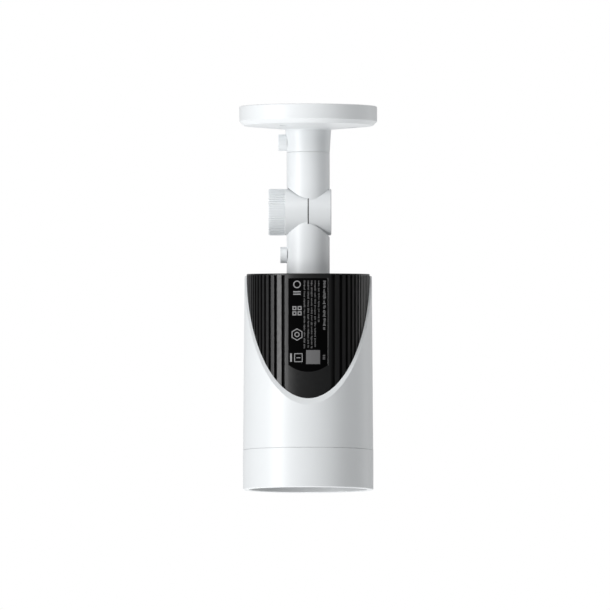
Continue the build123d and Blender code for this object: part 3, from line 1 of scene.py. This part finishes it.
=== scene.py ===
import bmesh
import bpy
import json
import math
import random
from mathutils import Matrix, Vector


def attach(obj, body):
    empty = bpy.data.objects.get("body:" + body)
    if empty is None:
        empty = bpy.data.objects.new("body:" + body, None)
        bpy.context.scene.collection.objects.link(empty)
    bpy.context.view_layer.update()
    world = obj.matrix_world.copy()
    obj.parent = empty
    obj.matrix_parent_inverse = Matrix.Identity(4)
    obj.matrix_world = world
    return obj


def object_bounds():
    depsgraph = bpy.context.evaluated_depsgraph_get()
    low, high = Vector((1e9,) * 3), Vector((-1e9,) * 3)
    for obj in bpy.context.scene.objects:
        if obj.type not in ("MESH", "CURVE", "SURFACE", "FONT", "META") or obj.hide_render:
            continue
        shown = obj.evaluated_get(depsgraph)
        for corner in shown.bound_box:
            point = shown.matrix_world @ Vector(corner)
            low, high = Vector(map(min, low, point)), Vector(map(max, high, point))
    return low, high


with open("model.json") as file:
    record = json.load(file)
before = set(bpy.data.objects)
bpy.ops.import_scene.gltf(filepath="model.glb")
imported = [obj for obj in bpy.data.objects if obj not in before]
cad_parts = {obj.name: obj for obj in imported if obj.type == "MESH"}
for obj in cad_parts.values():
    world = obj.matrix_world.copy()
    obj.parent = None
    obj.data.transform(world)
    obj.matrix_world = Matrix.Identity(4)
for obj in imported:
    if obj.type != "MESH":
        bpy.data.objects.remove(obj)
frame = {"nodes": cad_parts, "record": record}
cad_low, cad_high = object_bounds()

MM = 0.001
MIDDLE = (cad_low + cad_high) / 2

# The picture: how wide it is at the object, and where it is seen from.
VIEW_WIDTH = 305 * MM
VIEW_CENTRE = Vector((-1.6 * MM, 0, -99.3 * MM))
VIEW_ELEVATION = math.radians(-2.7)
VIEW_DISTANCE = 0.6
VIEW_DEPTH = 20.0

# The studio, in metres and watts. Azimuth 0 is the camera's side and 90 the right.
FLOOR_DROP = 1.1
FLOOR_RADIUS = 6.0
FLOOR_SIDES = 96
FLOOR_GLOW = 0.4
AMBIENT = 0.13
SOFTBOXES = [
    # name, azimuth, elevation, distance, width, height, power
    ("key", -54, -2, 1.0, 0.3, 0.7, 6.8),
    ("bracket_fill", -15, 40, 0.55, 0.3, 0.3, 0.95),
    ("bracket_side", 75, 40, 0.45, 0.2, 0.2, 0.16),
    ("under_fill", 0, -78, 0.9, 0.6, 0.6, 3.0),
    ("right_rim", 122, 0, 1.0, 0.3, 0.8, 1.2),
    ("backdrop", 180, -6, 1.0, 2.0, 2.0, 6.0),
    ("top_fill", 120, 70, 1.1, 0.7, 0.7, 1.5),
]
WHITE = (0.795, 0.82, 0.835)


# ---------------------------------------------------------------- node helpers
class Graph:
    """A material being built: short calls that add nodes and link them."""

    def __init__(self, name):
        self.material = bpy.data.materials.new(name)
        self.material.use_nodes = True
        self.tree = self.material.node_tree
        self.tree.nodes.clear()
        self.shader = self.add("ShaderNodeBsdfPrincipled")
        output = self.add("ShaderNodeOutputMaterial")
        self.link(self.shader.outputs["BSDF"], output.inputs["Surface"])
        self.position = self.add("ShaderNodeTexCoord").outputs["Object"]

    def add(self, kind, **settings):
        """A new node of this kind, with its own settings."""
        node = self.tree.nodes.new(kind)
        for key, value in settings.items():
            setattr(node, key, value)
        return node

    def link(self, source, target):
        self.tree.links.new(source, target)

    def set(self, **values):
        """Shader sockets by plain names, such as coat_weight=0.2."""
        for key, value in values.items():
            self.shader.inputs[key.replace("_", " ").title().replace("Ior", "IOR")].default_value = value

    def stretched(self, x, y, z):
        """Object coordinates, stretched by a factor along each axis."""
        mapping = self.add("ShaderNodeMapping")
        mapping.inputs["Scale"].default_value = (x, y, z)
        self.link(self.position, mapping.inputs["Vector"])
        return mapping.outputs["Vector"]

    def noise(self, size, detail=3.0, roughness=0.5, where=None):
        """Noise whose blobs are about this size, in metres."""
        node = self.add("ShaderNodeTexNoise")
        node.inputs["Scale"].default_value = 1.0 / size
        node.inputs["Detail"].default_value = detail
        node.inputs["Roughness"].default_value = roughness
        self.link(where or self.position, node.inputs["Vector"])
        return node.outputs["Fac"]

    def ranged(self, value, low, high, from_low=0.3, from_high=0.7):
        """A value spread out to run from low to high."""
        node = self.add("ShaderNodeMapRange")
        node.inputs["From Min"].default_value = from_low
        node.inputs["From Max"].default_value = from_high
        node.inputs["To Min"].default_value = low
        node.inputs["To Max"].default_value = high
        self.link(value, node.inputs["Value"])
        return node.outputs["Result"]

    def blend(self, factor, first, second):
        """A colour between two colours."""
        node = self.add("ShaderNodeMix", data_type="RGBA")
        self.link(factor, node.inputs["Factor"])
        node.inputs["A"].default_value = (*first, 1.0)
        node.inputs["B"].default_value = (*second, 1.0)
        return node.outputs["Result"]

    def colour(self, source):
        self.link(source, self.shader.inputs["Base Color"])

    def roughness(self, source):
        self.link(source, self.shader.inputs["Roughness"])

    def bump(self, height, distance, strength=1.0):
        """Relief of this depth, in metres."""
        node = self.add("ShaderNodeBump")
        node.inputs["Distance"].default_value = distance
        node.inputs["Strength"].default_value = strength
        self.link(height, node.inputs["Height"])
        self.link(node.outputs["Normal"], self.shader.inputs["Normal"])


def scaled(colour, factor):
    """A lighter or darker shade of a colour."""
    return tuple(channel * factor for channel in colour)


# ---------------------------------------------------------------- materials
def moulded_plastic(name, colour, variation, low_rough, high_rough, grain, grain_depth, **sockets):
    """Injection-moulded plastic: faint clouding, uneven gloss and the mould's fine spark texture.

    The colour varies by a share of itself, the roughness runs from low to high, and the grain has a
    size and a depth.
    """
    g = Graph(name)
    clouds = g.noise(9 * MM, detail=4.0)
    g.colour(g.blend(clouds, scaled(colour, 1 - variation), scaled(colour, 1 + variation)))
    g.roughness(g.ranged(g.noise(1.6 * MM, detail=5.0), low_rough, high_rough))
    g.bump(g.noise(grain, detail=2.0, roughness=0.6), grain_depth)
    g.set(**sockets)
    return g.material


def machined_metal(name, colour, rough, stretch, grain, grain_depth):
    """Metal with fine tool lines along the stretched axes and faint staining."""
    g = Graph(name)
    lines = g.noise(grain, detail=4.0, where=g.stretched(*stretch))
    stains = g.noise(4 * MM, detail=3.0)
    g.colour(g.blend(stains, scaled(colour, 0.86), colour))
    g.roughness(g.ranged(lines, rough - 0.08, rough + 0.1))
    g.bump(lines, grain_depth)
    g.set(metallic=1.0)
    return g.material


def circuit_board(name):
    """Green solder resist over blocks of copper, with paler gaps between them."""
    g = Graph(name)
    bricks = g.add("ShaderNodeTexBrick", offset=0.37, squash=0.6, squash_frequency=3)
    bricks.inputs["Scale"].default_value = 1.0 / (2.2 * MM)
    bricks.inputs["Mortar Size"].default_value = 0.07
    bricks.inputs["Color1"].default_value = (0.008, 0.075, 0.035, 1)
    bricks.inputs["Color2"].default_value = (0.012, 0.098, 0.047, 1)
    bricks.inputs["Mortar"].default_value = (0.025, 0.17, 0.075, 1)
    mapping = g.add("ShaderNodeMapping")
    mapping.inputs["Rotation"].default_value = (math.radians(90), 0, 0)
    g.link(g.position, mapping.inputs["Vector"])
    g.link(mapping.outputs["Vector"], bricks.inputs["Vector"])
    g.colour(bricks.outputs["Color"])
    g.roughness(g.ranged(g.noise(3 * MM), 0.28, 0.42))
    g.bump(bricks.outputs["Fac"], 0.03 * MM, 0.6)
    return g.material


def clear_optic(name, tint, ior):
    """Polished clear glass or acrylic, with a trace of dust in its gloss."""
    g = Graph(name)
    g.roughness(g.ranged(g.noise(6 * MM, detail=6.0), 0.0, 0.03, 0.45, 0.9))
    g.set(base_color=(*tint, 1.0), transmission_weight=1.0, ior=ior)
    return g.material


def build_materials():
    """One material for each slot of the record."""
    return {
        "white_plastic": moulded_plastic(
            "satin_white_moulding", WHITE, 0.012, 0.36, 0.44, 0.22 * MM, 0.006 * MM
        ),
        "knob_plastic": moulded_plastic(
            "matte_white_moulding", scaled(WHITE, 1.08), 0.015, 0.46, 0.56, 0.18 * MM, 0.008 * MM
        ),
        "black_plastic": moulded_plastic(
            "satin_black_moulding", (0.0055, 0.0057, 0.006), 0.12, 0.33, 0.41, 0.25 * MM, 0.007 * MM
        ),
        "label_film": moulded_plastic(
            "black_label_film", (0.0008, 0.0008, 0.0009), 0.1, 0.7, 0.8, 0.12 * MM, 0.002 * MM,
            specular_ior_level=0.03,
        ),
        "grey_nylon": moulded_plastic(
            "dark_nylon", (0.05, 0.05, 0.053), 0.1, 0.5, 0.62, 0.2 * MM, 0.01 * MM
        ),
        "rubber": moulded_plastic(
            "soft_black_rubber", (0.014, 0.014, 0.0145), 0.15, 0.62, 0.78, 0.3 * MM, 0.02 * MM
        ),
        "chip_black": moulded_plastic(
            "chip_epoxy", (0.016, 0.016, 0.017), 0.12, 0.5, 0.6, 0.1 * MM, 0.006 * MM
        ),
        "silicone_pad": moulded_plastic(
            "silicone_pad", (0.22, 0.29, 0.42), 0.08, 0.6, 0.7, 0.4 * MM, 0.03 * MM
        ),
        "led_resin": moulded_plastic(
            "smoked_led_resin", (0.09, 0.07, 0.1), 0.05, 0.08, 0.14, 2 * MM, 0.002 * MM,
            transmission_weight=0.35, coat_weight=0.4,
        ),
        "led_white": moulded_plastic(
            "diffusing_led_resin", (0.85, 0.8, 0.56), 0.04, 0.16, 0.26, 1 * MM, 0.003 * MM,
            subsurface_weight=0.2,
        ),
        "steel": machined_metal(
            "zinc_plated_steel", (0.56, 0.57, 0.6), 0.3, (1, 6, 6), 0.4 * MM, 0.004 * MM
        ),
        "shield_metal": machined_metal(
            "tinned_shield", (0.63, 0.63, 0.61), 0.34, (2, 1, 8), 0.7 * MM, 0.003 * MM
        ),
        "brass": machined_metal("turned_brass", (0.72, 0.5, 0.2), 0.28, (6, 1, 1), 0.4 * MM, 0.004 * MM),
        "aluminium": machined_metal(
            "tumbled_aluminium", (0.66, 0.67, 0.69), 0.42, (1, 1, 1), 0.5 * MM, 0.012 * MM
        ),
        "circuit_board": circuit_board("solder_resist"),
        "clear_glass": clear_optic("window_glass", (0.93, 0.95, 0.96), 1.49),
    }


def dress_cad_nodes(made):
    """Every CAD node takes the material of its slot."""
    slot_of = {s["node"]: s["material_slot"] for s in frame["record"]["subparts"]}
    for name, node in frame["nodes"].items():
        node.data.materials.clear()
        node.data.materials.append(made[slot_of[name]])


# ---------------------------------------------------------------- print on the label
# Places on the label are (x, z) in millimetres, as it is seen: x to the right, z up.
INK_BASE = 30.66              # radius just under the label's face, so that the ink has no gap behind it
INK_TOP = 30.73               # the ink stands clear of the face and stays below the housing
PRINT_TOP = -88.5
PRINT_STEP = 0.8              # longest stretch of ink that is left straight across the round face
CORNER_GAP = 0.1              # share of an outline's line that is left open at each corner

# Marks, in a column down the left side
MARK_X = -5.6
MARK_LINE = 0.5
ROUND_MARK_HEIGHT = -90.4
ROUND_MARK_RADIUS = 1.9
BAR_MARK_HEIGHTS = (-94.1, -95.3)
BAR_MARK_SIZE = (3.8, 0.6)
SQUARES_HEIGHT = -103.6
SQUARES_REACH = 1.3
SQUARE_SIDE = 2.0
HEXAGON_HEIGHT = -115.5
HEXAGON_RADIUS = 3.1
HEXAGON_HOLE_RADIUS = 1.3
HEXAGON_HOLE_LINE = 0.45
BOX_PLACE = (MARK_X + 0.7, -127.1)
BOX_SIZE = (4.2, 4.4)
BOX_LINE = 0.4
BOX_BAR_WIDTH = 2.0
SIDE_BAR_PLACE = (-8.6, -127.0)
SIDE_BAR_SIZE = (0.9, 4.2)

# Lines of blocks that stand for type, and the square beside the marks
BLOCK_HEIGHTS = (0.3, 0.55)
BLOCK_GAP = 0.2
BLOCK_DRIFT = 0.1             # share of the line's width by which a block may stand aside
NARROWEST_BLOCK = 0.5         # share of the line's width
WORD_BLOCKS = (3, 8)
WORD_GAP = 0.55
HEADING_X = 8.1
HEADING_LENGTH = 24.7
HEADING_WIDTH = 1.5
FOOT_X = 7.9
FOOT_HEIGHTS = (-125.9, -126.8, -127.7)
FOOT_SIZE = (1.2, 0.45)
LINES = ((-1.9, 34.0), (0.0, 34.0), (1.75, 34.2), (3.45, 33.8), (5.3, 21.0))
LINE_WIDTH = 0.95
PATCH_PLACE = (2.45, -126.8)
PATCH_SIDE = 7.0
PRINT_SEED = 11


class Print:
    """One colour of ink: thin closed plates that follow the label's round face."""

    def __init__(self):
        self.work = bmesh.new()

    def band(self, first, second, closed=False):
        """A plate between two rows of points."""
        rows = []
        for row, radius in ((first, INK_BASE), (second, INK_BASE), (second, INK_TOP), (first, INK_TOP)):
            rows.append([
                self.work.verts.new(Vector((x, -math.sqrt(radius ** 2 - x ** 2), z)) * MM) for x, z in row
            ])
        count = len(first)
        for k in range(count if closed else count - 1):
            after = (k + 1) % count
            for row, beside in zip(rows, rows[1:] + rows[:1]):
                self.work.faces.new((row[k], row[after], beside[after], beside[k]))
        if not closed:
            self.work.faces.new([row[0] for row in rows])
            self.work.faces.new([row[-1] for row in rows])

    def bar(self, x, z, width, height):
        """A level rectangle about its middle."""
        steps = max(1, math.ceil(width / PRINT_STEP))
        across = [x - width / 2 + width * k / steps for k in range(steps + 1)]
        self.band([(u, z - height / 2) for u in across], [(u, z + height / 2) for u in across])

    def outline(self, x, z, width, height, line):
        """A rectangle's outline. Its upright sides stop just short of the level ones."""
        upright = height - 2 * (1 + CORNER_GAP) * line
        for side in (-1, 1):
            self.bar(x, z + side * (height - line) / 2, width, line)
            self.bar(x + side * (width - line) / 2, z, line, upright)

    def ring(self, x, z, radius, line, sides=24):
        """A round outline, or a regular polygon's."""
        turns = [math.tau * (k + 0.5) / sides for k in range(sides)]
        inner = [(x + (radius - line) * math.cos(a), z + (radius - line) * math.sin(a)) for a in turns]
        outer = [(x + radius * math.cos(a), z + radius * math.sin(a)) for a in turns]
        self.band(inner, outer, closed=True)

    def piece(self, name, material):
        """The finished ink, which rides on the camera as the label does."""
        bmesh.ops.recalc_face_normals(self.work, faces=self.work.faces)
        mesh = bpy.data.meshes.new(name)
        self.work.to_mesh(mesh)
        self.work.free()
        mesh.materials.append(material)
        made = bpy.data.objects.new(name, mesh)
        bpy.context.scene.collection.objects.link(made)
        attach(made, "camera")


def ink(name, grey):
    """Screen-printed ink with a slightly uneven gloss."""
    return moulded_plastic(name, (grey, grey, grey * 1.02), 0.06, 0.45, 0.6, 0.1 * MM, 0.003 * MM)


def print_line(sheet, draw, x, length, width):
    """A line of unreadable type that runs down the label: blocks in words of uneven length."""
    z = PRINT_TOP
    end = PRINT_TOP - length
    while z > end:
        for _ in range(draw.randint(*WORD_BLOCKS)):
            height = draw.uniform(*BLOCK_HEIGHTS)
            if z - height < end:
                return
            aside = draw.uniform(-BLOCK_DRIFT, BLOCK_DRIFT) * width
            sheet.bar(x + aside, z - height / 2, width * draw.uniform(NARROWEST_BLOCK, 1), height)
            z -= height + BLOCK_GAP
        z -= WORD_GAP


def print_marks():
    """A ring over two bars, four squares, a hexagon round a ring, and a box beside an upright bar."""
    marks = Print()
    marks.ring(MARK_X, ROUND_MARK_HEIGHT, ROUND_MARK_RADIUS, MARK_LINE)
    for height in BAR_MARK_HEIGHTS:
        marks.bar(MARK_X, height, *BAR_MARK_SIZE)
    for column in (-SQUARES_REACH, SQUARES_REACH):
        for row in (-SQUARES_REACH, SQUARES_REACH):
            marks.outline(MARK_X + column, SQUARES_HEIGHT + row, SQUARE_SIDE, SQUARE_SIDE, MARK_LINE)
    marks.ring(MARK_X, HEXAGON_HEIGHT, HEXAGON_RADIUS, MARK_LINE, sides=6)
    marks.ring(MARK_X, HEXAGON_HEIGHT, HEXAGON_HOLE_RADIUS, HEXAGON_HOLE_LINE)
    marks.outline(*BOX_PLACE, *BOX_SIZE, BOX_LINE)
    marks.bar(*BOX_PLACE, BOX_BAR_WIDTH, BOX_LINE)
    marks.bar(*SIDE_BAR_PLACE, *SIDE_BAR_SIZE)
    marks.piece("label_marks", ink("pale_grey_ink", 0.26))


def print_label():
    """Plain marks down the left side, lines of blocks, and one square patch."""
    print_marks()

    draw = random.Random(PRINT_SEED)
    heading = Print()
    print_line(heading, draw, HEADING_X, HEADING_LENGTH, HEADING_WIDTH)
    for height in FOOT_HEIGHTS:
        heading.bar(FOOT_X, height, *FOOT_SIZE)
    heading.piece("label_heading", ink("grey_ink", 0.16))

    lines = Print()
    for x, length in LINES:
        print_line(lines, draw, x, length, LINE_WIDTH)
    lines.piece("label_lines", ink("dark_grey_ink", 0.09))

    patch = Print()
    patch.bar(*PATCH_PLACE, PATCH_SIDE, PATCH_SIDE)
    patch.piece("label_patch", ink("grey_patch_ink", 0.135))


# ---------------------------------------------------------------- stage, lights and camera
def build_stage():
    """A wide pale floor far below, lit evenly by its own glow."""
    floor_mesh = bpy.data.meshes.new("floor")
    work = bmesh.new()
    bmesh.ops.create_circle(work, cap_ends=True, radius=FLOOR_RADIUS, segments=FLOOR_SIDES)
    work.to_mesh(floor_mesh)
    work.free()
    floor = bpy.data.objects.new("floor", floor_mesh)
    floor.location = (0, 0, cad_low.z - FLOOR_DROP)
    bpy.context.scene.collection.objects.link(floor)
    g = Graph("pale_floor")
    g.colour(g.blend(g.noise(0.4), (0.86, 0.86, 0.86), (0.9, 0.9, 0.9)))
    g.set(roughness=0.9, emission_color=(1, 1, 1, 1), emission_strength=FLOOR_GLOW)
    floor_mesh.materials.append(g.material)


def build_world():
    """A surround that is seen as white, and gives a softer white light."""
    world = bpy.data.worlds.new("studio")
    bpy.context.scene.world = world
    world.use_nodes = True
    tree = world.node_tree
    tree.nodes.clear()
    path = tree.nodes.new("ShaderNodeLightPath")
    strength = tree.nodes.new("ShaderNodeMapRange")
    strength.inputs["To Min"].default_value = AMBIENT
    strength.inputs["To Max"].default_value = 1.0
    tree.links.new(path.outputs["Is Camera Ray"], strength.inputs["Value"])
    background = tree.nodes.new("ShaderNodeBackground")
    background.inputs["Color"].default_value = (1, 1, 1, 1)
    tree.links.new(strength.outputs["Result"], background.inputs["Strength"])
    output = tree.nodes.new("ShaderNodeOutputWorld")
    tree.links.new(background.outputs["Background"], output.inputs["Surface"])


def softbox(name, azimuth, elevation, distance, width, height, power):
    """An area light aimed at the middle of the object, and not seen itself."""
    a, e = math.radians(azimuth), math.radians(elevation)
    away = Vector((math.sin(a) * math.cos(e), -math.cos(a) * math.cos(e), math.sin(e)))
    data = bpy.data.lights.new(name, "AREA")
    data.shape = "RECTANGLE"
    data.size = width
    data.size_y = height
    data.energy = power
    light = bpy.data.objects.new(name, data)
    light.location = MIDDLE + away * distance
    light.rotation_mode = "QUATERNION"
    light.rotation_quaternion = (-away).to_track_quat("-Z", "Y")
    light.visible_camera = False
    bpy.context.scene.collection.objects.link(light)


def build_camera():
    """Square-on to the ribbed side from slightly below, framed as the object is seen."""
    back = Vector((0, -math.cos(VIEW_ELEVATION), math.sin(VIEW_ELEVATION)))
    data = bpy.data.cameras.new("camera")
    data.type = "ORTHO"
    data.ortho_scale = VIEW_WIDTH
    data.clip_end = VIEW_DEPTH
    camera = bpy.data.objects.new("camera", data)
    camera.location = VIEW_CENTRE + back * VIEW_DISTANCE
    camera.rotation_mode = "QUATERNION"
    camera.rotation_quaternion = (-back).to_track_quat("-Z", "Y")
    bpy.context.scene.collection.objects.link(camera)
    bpy.context.scene.camera = camera


build_camera()
build_stage()
build_world()
for box in SOFTBOXES:
    softbox(*box)
dress_cad_nodes(build_materials())
print_label()
bpy.context.scene.view_settings.view_transform = "Standard"
